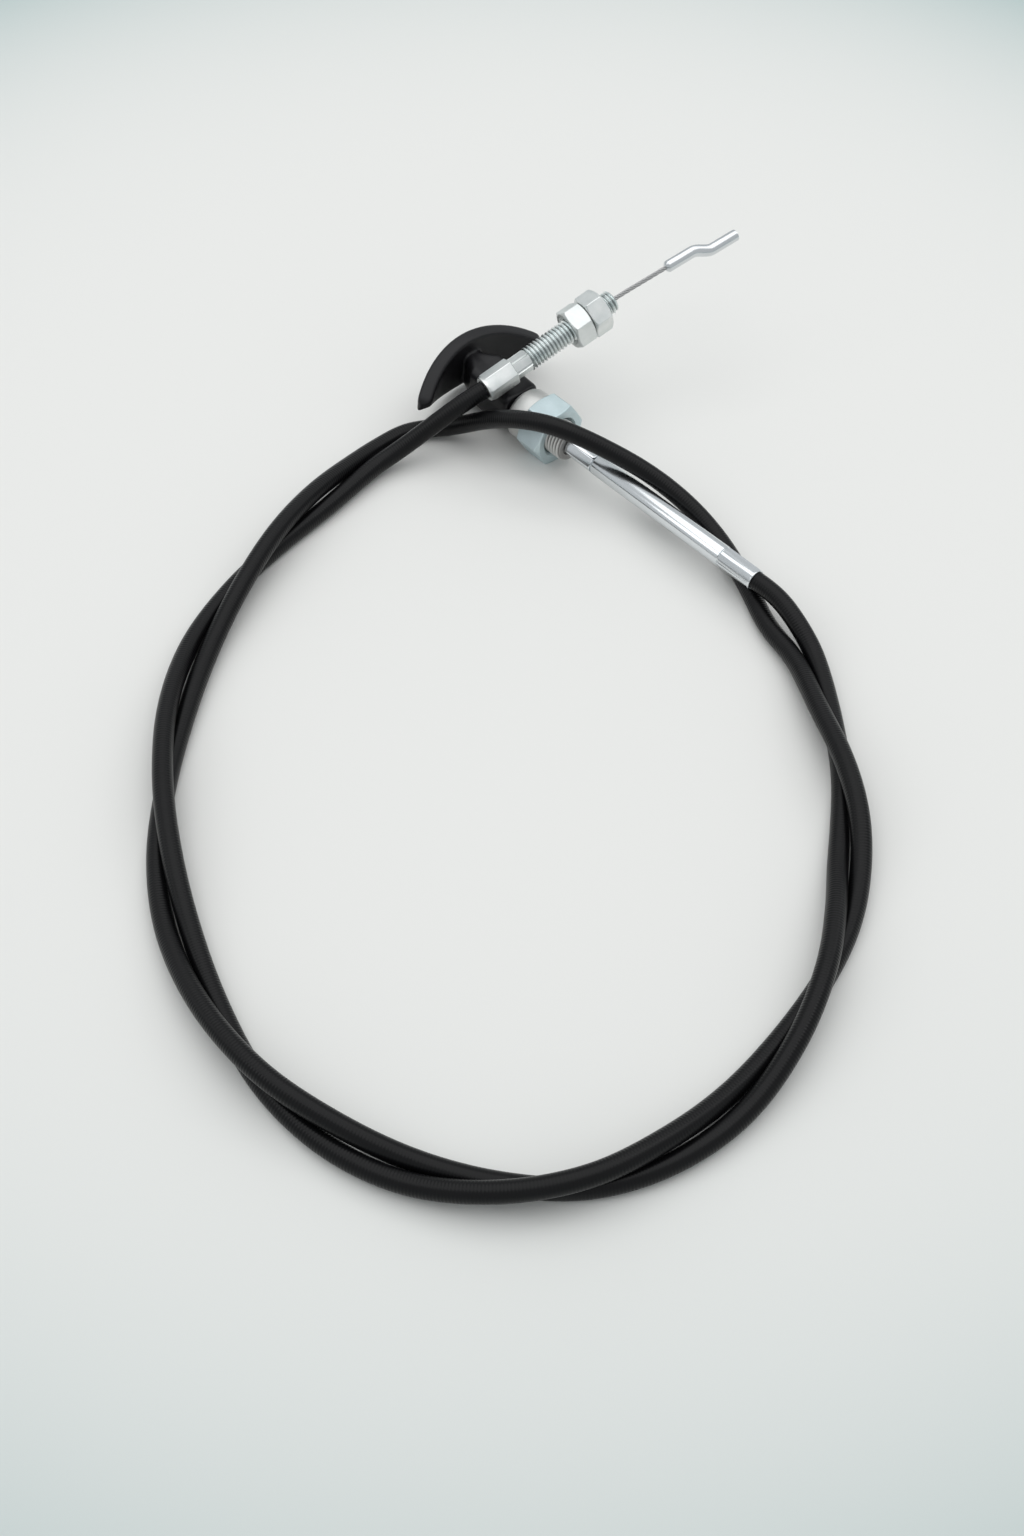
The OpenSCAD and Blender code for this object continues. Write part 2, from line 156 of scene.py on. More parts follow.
class EndSettings(bpy.types.PropertyGroup):
    ferrule_flats: size("Ferrule Flats", "Width of the large crimp", 8.2 * MM)
    ferrule_length: size("Ferrule Length", "Length of the large crimp", 11.4 * MM)
    stage_flats: size("Stage Flats", "Width of the small crimp", 6.9 * MM)
    stage_length: size("Stage Length", "Length of the small crimp", 6.4 * MM)
    sleeve_diameter: size("Sleeve Diameter", "Diameter of the sleeve's thread", 8 * MM)
    sleeve_length: size("Sleeve Length", "Length of the sleeve's thread", 34.8 * MM)
    sleeve_pitch: size("Sleeve Pitch", "Pitch of the sleeve's thread", 1.34 * MM)
    sleeve_mouth: size("Sleeve Mouth", "Diameter of the sleeve's open mouth", 4.8 * MM)
    nut_flats: size("Nut Flats", "Width of a lock nut across its flats", 13 * MM)
    nut_thickness: size("Nut Thickness", "Thickness of a lock nut", 6.8 * MM)
    nut_gap: size("Nut Gap", "Gap between the two lock nuts", 0.3 * MM)
    free_thread: size("Free Thread", "Thread past the outer lock nut", 4.3 * MM)
    zinc: colour("Zinc", "Colour of the ferrule and the lock nuts", (0.78, 0.79, 0.78))
    thread_zinc: colour("Thread Zinc", "Colour of the threaded sleeve", (0.9, 0.965, 0.96))


class WireSettings(bpy.types.PropertyGroup):
    diameter: size("Diameter", "Diameter of the stranded wire", 1.5 * MM)
    lay: size("Lay", "Length in which a strand goes once round", 14 * MM)
    free_wire: size("Free Wire", "Wire between the sleeve and the fitting", 21.8 * MM)
    sag: angle("Sag", "Slope of the wire under the fitting", 5.5)
    fitting_diameter: size("Fitting Diameter", "Diameter of the end fitting", 4 * MM)
    root_length: size("Root Length", "Length before the joggle", 11.6 * MM)
    joggle_length: size("Joggle Length", "Length of the joggle", 6 * MM)
    tip_length: size("Tip Length", "Length past the joggle", 10.6 * MM)
    step: size("Step", "Sideways step of the joggle", 2.6 * MM)
    steel: colour("Steel", "Colour of the wire", (0.42, 0.42, 0.42))
    bright: colour("Bright Zinc", "Colour of the end fitting", (0.68, 0.7, 0.715))


class StageSettings(bpy.types.PropertyGroup):
    lens: FloatProperty(
        name="Lens", description="Focal length on a 36 mm sensor", default=45.0,
        subtype="DISTANCE_CAMERA",
    )
    tilt: angle("Tilt", "Angle of the camera under the horizon", 52.04)
    camera_place: FloatVectorProperty(
        name="Camera Place", description="Where the camera stands", size=3,
        default=(0.3471, -0.3293, 0.4278), subtype="TRANSLATION", unit="LENGTH",
    )
    # The floor's reach and rim colour paint a light falloff: the floor is painted darker and
    # cooler far from the cable, standing in for dimmer light there
    painted_falloff_reach: size("Floor Reach", "Distance at which the floor has its rim colour", 0.39)
    floor: colour("Floor", "Colour of the floor", (0.8, 0.798, 0.775))
    rim: colour("Rim", "Colour of the floor far from the cable", (0.345, 0.475, 0.47))


SETTINGS = {
    "handle": HandleSettings, "bushing": BushingSettings, "conduit": ConduitSettings,
    "end": EndSettings, "wire": WireSettings, "stage": StageSettings,
}


class CableSettings(bpy.types.PropertyGroup):
    handle: PointerProperty(type=HandleSettings, name="Handle", description="Handle sizes")
    bushing: PointerProperty(type=BushingSettings, name="Bushing", description="Bushing sizes")
    conduit: PointerProperty(type=ConduitSettings, name="Conduit", description="Conduit sizes")
    end: PointerProperty(type=EndSettings, name="Threaded End", description="End sizes")
    wire: PointerProperty(type=WireSettings, name="Wire", description="Wire sizes")
    stage: PointerProperty(type=StageSettings, name="Stage", description="Camera and floor")


def settings(group):
    return getattr(bpy.context.scene.control_cable, group)


# ---------------------------------------------------------------- finishes
class Field:
    """A value on a surface. Sums on it add Math nodes."""

    def __init__(self, finish, socket):
        self.finish, self.socket = finish, socket

    def sum(self, operation, *others):
        values = dict(enumerate((self, *others)))
        return self.finish.add("ShaderNodeMath", {"operation": operation}, values)

    def __add__(self, other):
        return self.sum("ADD", other)

    def __sub__(self, other):
        return self.sum("SUBTRACT", other)

    def __mul__(self, other):
        return self.sum("MULTIPLY", other)

    def __truediv__(self, other):
        return self.sum("DIVIDE", other)

    def sine(self):
        return self.sum("SINE")

    def clamped(self):
        return self.finish.add("ShaderNodeClamp", {}, {0: self, 1: 0.0, 2: 1.0})


class Finish:
    """A material that is built from nodes"""

    def __init__(self, name):
        self.material = bpy.data.materials.new(name)
        self.material.use_nodes = True
        self.tree = self.material.node_tree
        self.tree.nodes.clear()

    def add(self, kind, chosen, values, output=0):
        node = self.tree.nodes.new(kind)
        for key, value in chosen.items():
            setattr(node, key, value)
        for key, value in values.items():
            if isinstance(value, Field):
                self.tree.links.new(value.socket, node.inputs[key])
            elif isinstance(value, (int, float)):
                node.inputs[key].default_value = value
            else:
                room = len(node.inputs[key].default_value)
                node.inputs[key].default_value = (*value, 1.0)[:room]
        return Field(self, node.outputs[output])

    def place(self):
        return self.add("ShaderNodeTexCoord", {}, {}, "Object")

    def along(self):
        return self.add("ShaderNodeTexCoord", {}, {}, "UV")

    def noise(self, vector, scale, detail=3.0, rough=0.55):
        return self.add("ShaderNodeTexNoise", {}, {
            "Vector": vector, "Scale": scale, "Detail": detail, "Roughness": rough})

    def stretched(self, vector, scale):
        return self.add("ShaderNodeMapping", {}, {"Vector": vector, "Scale": scale})

    def mixed(self, share, first, second):
        return self.add("ShaderNodeMix", {"data_type": "RGBA"}, {
            0: share, 6: first, 7: second}, 2)

    def raised(self, height, strength, distance, under=None):
        values = {"Height": height, "Strength": strength, "Distance": distance}
        if under is not None:
            values["Normal"] = under
        return self.add("ShaderNodeBump", {}, values)

    def surface(self, **values):
        names = {k: k.replace("_", " ").title().replace("Ior", "IOR") for k in values}
        shader = self.add("ShaderNodeBsdfPrincipled", {}, {names[k]: v for k, v in values.items()})
        end = self.tree.nodes.new("ShaderNodeOutputMaterial")
        self.tree.links.new(shader.socket, end.inputs["Surface"])
        return self.material


def shade(base, factor):
    return tuple(min(1.0, c * factor) for c in base)


def moulded(name, base, rough=0.42):
    """Satin moulded nylon with a fine spark grain"""
    finish = Finish(name)
    place = finish.place()
    cloud = finish.noise(place, 120.0)
    grain = finish.noise(place, 5200.0, 2.0)
    tone = finish.mixed(cloud, shade(base, 0.8), shade(base, 1.35))
    return finish.surface(
        base_color=tone, roughness=cloud * 0.14 + (rough - 0.07), specular_ior_level=0.32,
        normal=finish.raised(grain, 0.35, 0.00006),
    )


def ribbed(name, base, length, rib_pitch):
    """A drawn jacket that shows the winding under it as fine ribs"""
    finish = Finish(name)
    place, along = finish.place(), finish.along()
    run = finish.add("ShaderNodeSeparateXYZ", {}, {0: along})
    ribs = (run * (2 * pi * length / rib_pitch)).sine() * 0.5 + 0.5
    cloud = finish.noise(place, 60.0)
    fine = finish.noise(place, 2600.0, 2.0)
    tone = finish.mixed(cloud, shade(base, 0.8), shade(base, 1.3))
    bump = finish.raised(fine, 0.12, 0.00005, finish.raised(ribs, 0.5, 0.00012))
    return finish.surface(
        base_color=tone, roughness=cloud * 0.1 + 0.25, specular_ior_level=0.2, normal=bump)


def plated(name, base, rough=0.3, grain=0.25, tint=(0.95, 1.0, 1.0), root=None):
    """Zinc plate: clouded, faintly tinted, with fine marks and scratches in it. root is the
    share of the colour that is left at the roots of a thread, as painted shade in its grooves."""
    finish = Finish(name)
    place = finish.place()
    cloud = finish.noise(place, 140.0, 4.0)
    marks = finish.noise(place, 1500.0, 4.0, 0.7)
    scratch = finish.noise(finish.stretched(place, (0.35, 1.0, 2.6)), 900.0, 2.0)
    cool = tuple(min(1.0, c * t) for c, t in zip(shade(base, 0.84), tint))
    tone = finish.mixed(cloud * 1.6 - 0.3, cool, shade(base, 1.12))
    # Painted shade: the colour darkens towards root times the base at the thread's roots, where
    # the grooves fall in shade
    if root is not None:
        crest = finish.add("ShaderNodeSeparateXYZ", {}, {0: finish.along()}, "Y")
        tone = finish.mixed((crest * 1.6 - 0.15).clamped(), shade(base, root), tone)
    bump = finish.raised(scratch, grain * 0.6, 0.00008, finish.raised(marks, grain, 0.00006))
    return finish.surface(
        base_color=tone, metallic=1.0, normal=bump,
        roughness=(cloud * 0.16 + marks * 0.14) + (rough - 0.12))


def drawn(name, base, rough=0.14, axis_scale=(8.0, 900.0, 900.0), grain=0.08):
    """Drawn metal with long fine lines along one axis"""
    finish = Finish(name)
    place = finish.place()
    lines = finish.noise(finish.stretched(place, axis_scale), 4.0, 3.0)
    cloud = finish.noise(place, 90.0)
    tone = finish.mixed(cloud, shade(base, 0.93), shade(base, 1.05))
    return finish.surface(
        base_color=tone, metallic=1.0, roughness=lines * 0.1 + cloud * 0.06 + (rough - 0.07),
        normal=finish.raised(lines, grain, 0.00004),
    )


# ---------------------------------------------------------------- shaping
def welded(bm):
    bmesh.ops.remove_doubles(bm, verts=bm.verts, dist=WELD)
    edges = [e for e in bm.edges if e.is_boundary]
    if edges:
        bmesh.ops.holes_fill(bm, edges=edges, sides=0)
    bmesh.ops.recalc_face_normals(bm, faces=bm.faces)
    return bm


def rolled(rows, sides, place):
    """Rolls a flat grid up into a tube. place gives a corner its place from its row and its
    turn. The UV map runs from 0 to 1 along the tube and round it."""
    bm = bmesh.new()
    bm.loops.layers.uv.new("UVMap")
    bmesh.ops.create_grid(
        bm, x_segments=rows - 1, y_segments=sides, size=0.5, calc_uvs=True)
    for v in bm.verts:
        row, turn = round((v.co.x + 0.5) * (rows - 1)), round((v.co.y + 0.5) * sides) % sides
        v.co = place(row, turn)
    return welded(bm)


def turned(profile, steps=96):
    """Spins an outline of distances along +Z and radii round +Z"""
    bm = bmesh.new()
    verts = [bm.verts.new((r, 0, z)) for z, r in profile]
    edges = [bm.edges.new(pair) for pair in zip(verts, verts[1:])]
    bmesh.ops.spin(
        bm, geom=verts + edges, cent=(0, 0, 0), axis=(0, 0, 1), angle=2 * pi, steps=steps,
        use_merge=True)
    return welded(bm)


def hexagon_turns(flat_at, corner, per_side=14):
    """Directions round a hexagon: one at each corner, then close to it, then evenly along
    the side"""
    half = pi / 6 - corner
    offsets = [-pi / 6] + [half * (2 * j / per_side - 1) for j in range(per_side + 1)]
    return [flat_at + pi / 3 * k + off for k in range(6) for off in offsets]


def hexagon_reach(apothem, turn, flat_at, corner, fold=0.0):
    """Distance from the axis to a hexagon's side. Its corners are cut off, or folded in."""
    off = abs((turn - flat_at + pi / 6) % (pi / 3) - pi / 6)
    if off < pi / 6 - corner + 1e-6:
        return apothem / cos(off)
    return apothem / cos(pi / 6 - corner) * cos(corner) - fold


def crimped(profile, flat_at, corner=radians(1.5), fold=0.0):
    """Rolls a bar whose rows are (distance, radius or apothem, share of hexagon)"""
    turns = hexagon_turns(flat_at, corner)

    def place(row, turn):
        z, r, six = profile[row]
        a = turns[turn]
        reach = r * (1 - six) + hexagon_reach(r, a, flat_at, corner, fold) * six
        return (reach * cos(a), reach * sin(a), z)

    return rolled(len(profile), len(turns), place)


def nut(flats, thickness, bore, flat_at):
    """A hexagon nut with bevelled faces, countersunk and open right through"""
    apothem, corner = flats / 2, radians(1.2)
    turns = hexagon_turns(flat_at, corner)
    face = apothem * 0.955
    sink = bore + 0.95 * MM
    inside = thickness / 2
    rows = [  # distance from the middle, radius, whether it lies on the hexagon
        (-inside + sink - bore, bore, 0), (-inside, sink, 0), (-inside, face, 0),
        (-inside, 0, 1), (-inside + 0.12 * MM, 0, 2), (inside - 0.12 * MM, 0, 2),
        (inside, 0, 1), (inside, face, 0), (inside, sink, 0), (inside - sink + bore, bore, 0),
        (-inside + sink - bore, bore, 0),
    ]

    def place(row, turn):
        z, r, on_side = rows[row]
        a = turns[turn]
        if on_side:
            wall = hexagon_reach(apothem, a, flat_at, corner)
            r = wall if on_side == 2 else wall - 0.1 * MM
            drop = (r - face) * tan(radians(28))
            z -= drop * (1 if z > 0 else -1)
        return (r * cos(a), r * sin(a), z + inside)

    return rolled(len(rows), len(turns), place)


def threaded(r, depth, pitch, start, end, bore, bore_depth):
    """A thread: one outline of all its teeth is spun once round while it climbs one pitch,
    then both ends are cut off square. The far end has a bore. The UV map's second value is 0
    at the teeth's roots and 1 at their crests."""
    steps, lead = 72, 0.6 * MM
    bm = bmesh.new()
    tooth = [(0.0, -depth), (0.12, -depth), (0.46, -0.08 * depth), (0.52, 0.0),
             (0.6, 0.0), (0.66, -0.08 * depth)]
    turns = ceil((end - start) / pitch) + 2
    outline = [(start + (k + t - 1.5) * pitch, r + d) for k in range(turns) for t, d in tooth]
    verts = [bm.verts.new((radius, 0, z)) for z, radius in outline]
    edges = [bm.edges.new(pair) for pair in zip(verts, verts[1:])]
    bmesh.ops.spin(
        bm, geom=verts + edges, cent=(0, 0, 0), axis=(0, 0, 1), angle=2 * pi, steps=steps,
        dvec=(0, 0, pitch / steps))
    bmesh.ops.remove_doubles(bm, verts=bm.verts, dist=SPUN_WELD)
    for z, side in ((start, -1), (end, 1)):
        bmesh.ops.bisect_plane(
            bm, geom=bm.verts[:] + bm.edges[:] + bm.faces[:], dist=1e-8,
            plane_co=(0, 0, z), plane_no=(0, 0, side), clear_outer=True)
    for v in bm.verts:
        here = Vector((v.co.x, v.co.y)).length
        most = r - depth + min(abs(end - v.co.z), 2 * lead) + 0.15 * MM
        if here > most:
            v.co.x, v.co.y = v.co.x * most / here, v.co.y * most / here
    rim = [e for e in bm.edges if e.is_boundary and min(v.co.z for v in e.verts) > end - MM]
    for radius, z in ((bore + 0.25 * MM, end), (bore, end - 0.3 * MM), (bore, end - bore_depth)):
        made = bmesh.ops.extrude_edge_only(bm, edges=rim)["geom"]
        rim = [g for g in made if isinstance(g, bmesh.types.BMEdge)
               and all(v in made for v in g.verts)]
        for v in {v for e in rim for v in e.verts}:
            here = Vector((v.co.x, v.co.y)).length
            v.co = (v.co.x * radius / here, v.co.y * radius / here, z)
    welded(bm)
    uv = bm.loops.layers.uv.new("UVMap")
    for loop in (loop for face in bm.faces for loop in face.loops):
        out = (Vector((loop.vert.co.x, loop.vert.co.y)).length - r + depth) / depth
        loop[uv].uv = (0.5, min(1.0, max(0.0, out)))
    return bm


def swept(path, radius, sides):
    """Rolls a round tube along a path"""
    points = [Vector(p) for p in path]
    ways = [(points[min(i + 1, len(points) - 1)] - points[max(i - 1, 0)]).normalized()
            for i in range(len(points))]
    side = ways[0].orthogonal().normalized()
    frames = []
    for i, way in enumerate(ways):
        if i:
            side = ways[i - 1].rotation_difference(way) @ side
            side = (side - way * side.dot(way)).normalized()
        frames.append((side, way.cross(side)))

    def place(row, turn):
        a = 2 * pi * turn / sides
        across, up = frames[row]
        return points[row] + (across * cos(a) + up * sin(a)) * radius

    return rolled(len(points), sides, place)


def smooth_curve(points, t):
    """A point on the smooth curve through a list of points"""
    i = max(0, min(floor(t), len(points) - 2))
    b, c = points[i], points[i + 1]
    a = points[i - 1] if i else 2 * b - c
    d = points[i + 2] if i + 2 < len(points) else 2 * c - b
    f = t - i
    return (2 * b + (c - a) * f + (2 * a - 5 * b + 4 * c - d) * f * f
            + (3 * b - a - 3 * c + d) * f * f * f) / 2


def evenly_spaced(points, gap):
    """The smooth curve through the points, as points that stand a gap apart"""
    fine = [smooth_curve(points, k / 24) for k in range(24 * (len(points) - 1) + 1)]
    total = sum((b - a).length for a, b in zip(fine, fine[1:]))
    count = ceil(total / gap)
    step, done, made = total / count, 0.0, [fine[0]]
    for a, b in zip(fine, fine[1:]):
        long = (b - a).length
        while len(made) < count and done + long >= step * len(made) - 1e-9:
            made.append(a.lerp(b, (step * len(made) - done) / long))
        done += long
    return made + [fine[-1]], total


def piece(name, bm, body, nodes, material, sharp=38.0, at=None):
    """Makes a finished mesh a piece that rides on a body and stands for CAD nodes"""
    if at is not None:
        bmesh.ops.transform(bm, matrix=at, verts=bm.verts)
    mesh = bpy.data.meshes.new(name)
    bm.to_mesh(mesh)
    bm.free()
    mesh.shade_smooth()
    mesh.set_sharp_from_angle(angle=radians(sharp))
    mesh.materials.append(material)
    made = bpy.data.objects.new(name, mesh)
    bpy.context.scene.collection.objects.link(made)
    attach(made, body)
    if nodes:
        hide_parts(*nodes)
    return made


def finish_node(name, material):
    """Gives a CAD node that stays its finish"""
    mesh = frame["nodes"][name].data
    mesh.materials.clear()
    mesh.materials.append(material)


# ---------------------------------------------------------------- the conduit's route, in mm
EXIT_POINTS = [(97.3, 0, 9.5), (106.5, 0, 9.2), (116, -2, 7.6)]
LOOP_POINTS = [
    (126, -8.5), (162, -32.5), (186, -56.5), (205, -88), (215, -132), (206, -175),
    (173.5, -205), (129, -216.5), (78.5, -205), (36, -178.5), (0, -139), (-18.5, -94.5),
    (-27.5, -52),
]
BRIDGE_POINTS = [
    (-31.9, -40, 3), (-31.1, -31, 3.05), (-26.8, -23.6, 3.05), (-20.4, -18.9, 5.4),
    (-13, -16.3, 10.6), (-4.5, -14.5, 16.3), (4.5, -12.5, 20.8), (13.5, -9, 22.6),
    (22.5, -4.5, 21.2), (32, 0.5, 18), (41.5, 4.7, 14.8), (51, 7.6, 11.5), (61, 9.2, 8),
    (71, 9.1, 4.7), (82, 6.3, 3), (95, 0.5, 3), (109, -6.3, 3),
]
FINAL_POINTS = [(-24, -44, 5.2), (-21.9, -35, 8.8), (-19, -27, 13.5), (-16.5, -19.5, 17.6)]
MOUTH_POINT = (-14.5, -11, 20.2)
TWIST_SOFTNESS = 0.5
LOWEST = 3.05


def turn_of_loop(side, pitch):
    """One turn of the twisted loop. Side is 1 for the first turn and -1 for the second."""
    middle = [Vector((x, y, 0)) for x, y in LOOP_POINTS]
    made = []
    for k in range(2 * len(middle) - 1):
        t = k / 2
        way = (smooth_curve(middle, t + 0.01) - smooth_curve(middle, t - 0.01)).normalized()
        phase = pi / 2 * (t - 1)
        lift = sqrt(cos(phase) ** 2 + TWIST_SOFTNESS**2) - sqrt(1 + TWIST_SOFTNESS**2) + 1
        p = smooth_curve(middle, t) + Vector((way.y, -way.x, 0)) * side * sin(phase) * pitch / 2
        made.append(Vector((p.x, p.y, LOWEST + (lift - side * cos(phase)) * pitch / 2)))
    return made


def conduit_route(pitch):
    """The conduit's centreline in metres, from the guide tube's mouth to the ferrule's"""
    points = [Vector(p) for p in EXIT_POINTS] + turn_of_loop(1, pitch)
    points += [Vector(p) for p in BRIDGE_POINTS] + turn_of_loop(-1, pitch)
    points += [Vector(p) for p in FINAL_POINTS] + [Vector(MOUTH_POINT)]
    return [p * MM + Vector((0, 0, SURFACE)) for p in points]


def eased(path, rounds=8, held=3):
    """Evens small kinks out of a path. Its ends are held still."""
    for _ in range(rounds):
        inner = [(a + b * 2 + c) / 4 for a, b, c in zip(path, path[1:], path[2:])]
        path = path[:held] + inner[held - 1:1 - held] + path[-held:]
    return path


def laid_path():
    """The jacket's ring centres, and its length"""
    s = settings("conduit")
    path, length = evenly_spaced(conduit_route(s.pitch / MM), s.ring_gap)
    return eased(path), length


END_MOUTH = Vector(MOUTH_POINT) * MM + Vector((0, 0, SURFACE))


def at_end(s=0.0):
    return axes_at(END_DOWN, END_ACROSS, END_AXIS, END_MOUTH + END_AXIS * s)


# ---------------------------------------------------------------- operators
# Lamps: name, then metres to the camera's right, away from it and up, width and watts
LAMPS = [
    ("overhead", 0.0, 0.3, 1.5, 2.4, 14.0), ("side", -1.2, 0.0, 0.9, 0.7, 1.4),
    ("strip", 1.1, 0.5, 1.0, 0.5, 1.4),
]
PAINTED_POOL_MIDDLE = (0.009, -0.026)  # the painted pool of light on the floor is palest here
PAINTED_FALLOFF_POWER = 6.0  # how late the painted light falloff turns the floor's colour to the rim's


class StageOperator(bpy.types.Operator):
    """Sets up the camera, the floor and the soft light"""

    bl_idname = "control_cable.stage"
    bl_label = "Camera, Floor and Light"

    def execute(self, context):
        s = settings("stage")
        camera = bpy.data.cameras.new("Camera")
        camera.lens, camera.sensor_width = s.lens, 36.0
        camera.clip_start, camera.clip_end = 0.01, 20.0
        eye = bpy.data.objects.new("Camera", camera)
        right = Vector((0.6746, 0.7382, 0)).normalized()
        away = Vector((-right.y, right.x, 0))
        look = away * cos(s.tilt) + Vector((0, 0, -sin(s.tilt)))
        up = right.cross(look)
        eye.matrix_world = axes_at(right, up, -look, s.camera_place)
        context.scene.collection.objects.link(eye)
        context.scene.camera = eye

        bm = bmesh.new()
        bmesh.ops.create_grid(bm, x_segments=4, y_segments=4, size=3.0)
        bmesh.ops.translate(bm, verts=bm.verts, vec=(0.09, -0.09, SURFACE))
        mesh = bpy.data.meshes.new("floor")
        bm.to_mesh(mesh)
        bm.free()
        floor_here = bpy.data.objects.new("floor", mesh)
        mesh.materials.append(self.painted_falloff_floor(s))
        context.scene.collection.objects.link(floor_here)

        world = bpy.data.worlds.new("Studio")
        context.scene.world = world
        world.use_nodes = True
        ground = world.node_tree.nodes["Background"]
        ground.inputs["Color"].default_value = (0.95, 0.98, 1.0, 1.0)
        ground.inputs["Strength"].default_value = 0.6
        middle = Vector((0.09, -0.1, 0))
        for name, across, back, height, width, power in LAMPS:
            place = middle + right * across + away * back + Vector((0, 0, height))
            self.lamp(name, place, middle, width, power)
        context.scene.view_settings.view_transform = "Standard"
        return {"FINISHED"}

    def lamp(self, name, place, aim, width, power):
        light = bpy.data.lights.new(name, "AREA")
        light.shape, light.size, light.energy = "DISK", width, power
        lamp = bpy.data.objects.new(name, light)
        lamp.matrix_world = Matrix.Translation(place) @ (
            (aim - place).to_track_quat("-Z", "Y").to_matrix().to_4x4())
        bpy.context.scene.collection.objects.link(lamp)

    def painted_falloff_floor(self, s):
        """A pale sheet with painted light falloff: it is painted cooler and darker away from the
        cable, standing in for dimmer light there
        """
        finish = Finish("floor")
        place = finish.place()
        away = finish.add("ShaderNodeVectorMath", {"operation": "DISTANCE"}, {
            0: place, 1: (*PAINTED_POOL_MIDDLE, SURFACE)}, "Value")
        # Painted light falloff: share runs from the middle of the painted pool of light out to the
        # darker rim colour
        share = (away / s.painted_falloff_reach).sum("POWER", PAINTED_FALLOFF_POWER).clamped()
        grain = finish.noise(place, 900.0, 3.0)
        return finish.surface(
            base_color=finish.mixed(share, tuple(s.floor), tuple(s.rim)), roughness=0.6,
            normal=finish.raised(grain, 0.05, 0.0001))


class ConduitOperator(bpy.types.Operator):
    """Lays the jacketed conduit along its route"""

    bl_idname = "control_cable.conduit"
    bl_label = "Conduit"

    def execute(self, context):
        s = settings("conduit")
        path, length = laid_path()
        bm = swept(path, s.diameter / 2, s.sides)
        piece("jacket", bm, "cable", ["conduit_jacket"],
              ribbed("jacket", s.jacket, length, s.rib_pitch), 60.0)
        hidden = drawn("inner steel", (0.5, 0.5, 0.51), 0.3)
        for name in ("conduit_winding", "core_wire", "rod_wire", "pull_rod"):
            finish_node(name, hidden)
        finish_node("conduit_liner", moulded("liner", (0.8, 0.8, 0.76), 0.4))
        return {"FINISHED"}


class HandleOperator(bpy.types.Operator):
    """Moulds the T-handle"""

    bl_idname = "control_cable.handle"
    bl_label = "Handle"

    def execute(self, context):
        s = settings("handle")
        bm = self.palm(s)
        self.stem(s, bm)
        leant = (Matrix.Translation((s.stem_end, 0, 0)) @ Matrix.Rotation(s.lean, 4, "Y")
                 @ Matrix.Rotation(s.roll, 4, "X") @ Matrix.Translation((-s.stem_end, 0, 0)))
        rough = piece("handle_blank", bm, "handle", [],
                      moulded("nylon", s.nylon), 60.0, leant)
        remesh = rough.modifiers.new("Moulded", "REMESH")
        remesh.mode, remesh.voxel_size = "VOXEL", MOULD_VOXEL
        remesh.use_smooth_shade = True
        soften = rough.modifiers.new("Soften", "SMOOTH")
        soften.factor, soften.iterations = 0.5, 9
        context.view_layer.update()
        shown = rough.evaluated_get(context.evaluated_depsgraph_get())
        mesh = bpy.data.meshes.new_from_object(shown)
        bm = bmesh.new()
        bm.from_mesh(mesh)
        bpy.data.objects.remove(rough)
        piece("handle", bm, "handle", ["t_handle"],
              bpy.data.materials["nylon"], 80.0)
        return {"FINISHED"}

    def palm(self, s):
        """The curved palm flange, as a rounded bar bent round the palm arc"""
        centre = s.palm_back + s.palm_radius
        lens = ((s.width / 2) ** 2 + ((s.palm_height - s.tip_height) / 2) ** 2) / (
            s.palm_height - s.tip_height)
        tip = asin(s.width / 2 / s.palm_radius)
        rows, corner, arc, round_off = 72, 1.0 * MM, 5, 2.2 * MM
        section = []
        for k in range(4):
            for j in range(arc):
                a = pi / 2 * (k + j / (arc - 1))
                section.append((k, a))

        def place(row, turn):
            share = row / (rows - 1) * 2 - 1
            theta = tip * share
            y = abs(s.palm_radius * sin(theta))
            top = sqrt(lens**2 - min(y, s.width / 2) ** 2) - (lens - s.palm_height / 2)
            left = (1 - abs(share)) * tip * s.palm_radius
            small = 1.0 if left > round_off else sqrt(max(0.0, 1 - (1 - left / round_off) ** 2))
            k, a = section[turn]
            t = (s.palm_thickness / 2 - corner) * (1 if k in (0, 3) else -1) + corner * cos(a)
            r = s.palm_radius - s.palm_thickness / 2 + t * (0.3 + 0.7 * small)
            x = centre - r * cos(theta)
            bottom = 0.3 * MM - s.palm_height / 2 + (x - s.palm_back) * tan(s.underside)
            z = (top - corner if k in (0, 1) else bottom + corner) + corner * sin(a)
            middle = (top + bottom) / 2
            return (x, r * sin(theta), middle + (z - middle) * (0.55 + 0.45 * small))

        return rolled(rows, len(section), place)

    def stem(self, s, bm):
        """The square stem with cut edges, which narrows into the palm flange"""
        neck_at = s.palm_back + s.palm_thickness * 0.5
        rows = []
        for k in range(33):
            x = s.stem_end + (neck_at - s.stem_end) * k / 32
            f = max(0.0, (s.block_end - x) / (s.block_end - neck_at))
            slim, flat = f ** 0.62, f ** 1.2
            rows.append((x, s.stem / 2 * (1 - slim) + s.neck_width / 2 * slim,
                         s.stem / 2 * (1 - flat) + s.neck_height / 2 * flat))
        arc = 6  # five corners on each rounded edge, then one in the hollow of the side

        def place(row, turn):
            x, wide, tall = rows[row]
            k, j = divmod(turn, arc)
            c = min(2.4 * MM, wide * 0.7)
            small = 1.0 if row else 0.95
            if j == 5:
                hollow = 0.07 * wide * min(1.0, row / 4)
                across, up = ((0, 1), (-1, 0), (0, -1), (1, 0))[k]
                return (x, across * (wide - hollow) * small, up * (tall - hollow) * small)
            a = pi / 2 * (k + j / 4)
            cy = (wide - c) * (1 if k in (0, 3) else -1)
            cz = (tall - c) * (1 if k in (0, 1) else -1)
            return (x, (cy + c * cos(a)) * small, (cz + c * sin(a)) * small)

        part = rolled(len(rows), 4 * arc, place)
        mesh = bpy.data.meshes.new("stem")
        part.to_mesh(mesh)
        part.free()
        bm.from_mesh(mesh)
        bpy.data.meshes.remove(mesh)


